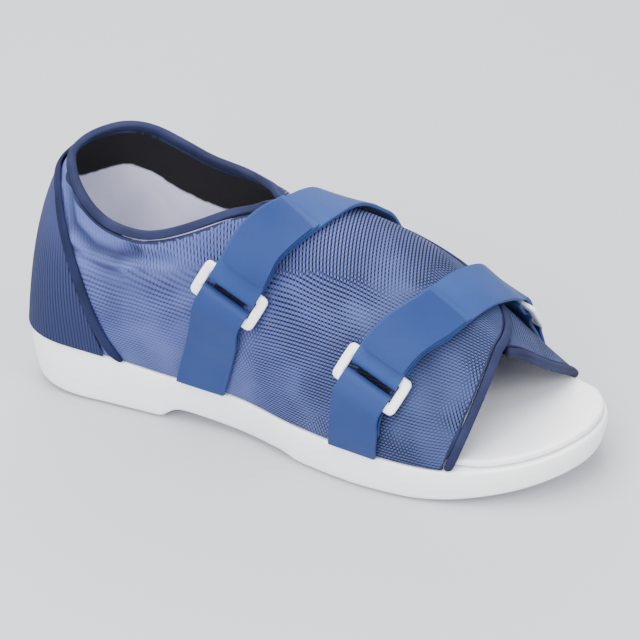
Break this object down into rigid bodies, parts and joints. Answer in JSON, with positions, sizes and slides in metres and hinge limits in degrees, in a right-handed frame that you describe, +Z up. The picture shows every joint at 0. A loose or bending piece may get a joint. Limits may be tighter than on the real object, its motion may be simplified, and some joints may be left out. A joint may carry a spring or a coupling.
{
  "type": "post operative shoe",
  "caption": "Open-toed post operative shoe: flat rubber sole, lapped mesh upper with bound edges, and two closure straps that pass through plastic rings.",
  "frame": {"origin": "middle of the heel's flat spot on the floor, 58 mm in front of the heel's back", "axes": "+X from heel to toe, +Y towards the shoe's inner side, +Z up from the floor"},
  "size_m": [0.2872, 0.1184, 0.122],
  "materials": {
    "sole": "matte",
    "footbed": "matte",
    "mesh": "woven",
    "tape": "woven",
    "counter": "woven",
    "strap": "woven",
    "ring": "gloss"
  },
  "bodies": {
    "root": {"outsole": "sole", "footbed": "footbed", "upper": "mesh", "collar_tape": "tape", "flap_tape": "tape", "far_toe_tape": "tape", "heel_counter": "counter", "counter_band": "tape", "rear_near_anchor": "strap", "rear_far_anchor": "strap", "rear_near_ring": "ring", "rear_far_ring": "ring", "rear_strap": "strap", "rear_pad": "strap", "front_near_anchor": "strap", "front_far_anchor": "strap", "front_near_ring": "ring", "front_far_ring": "ring", "front_strap": "strap", "front_pad": "strap"}
  },
  "joints": []
}
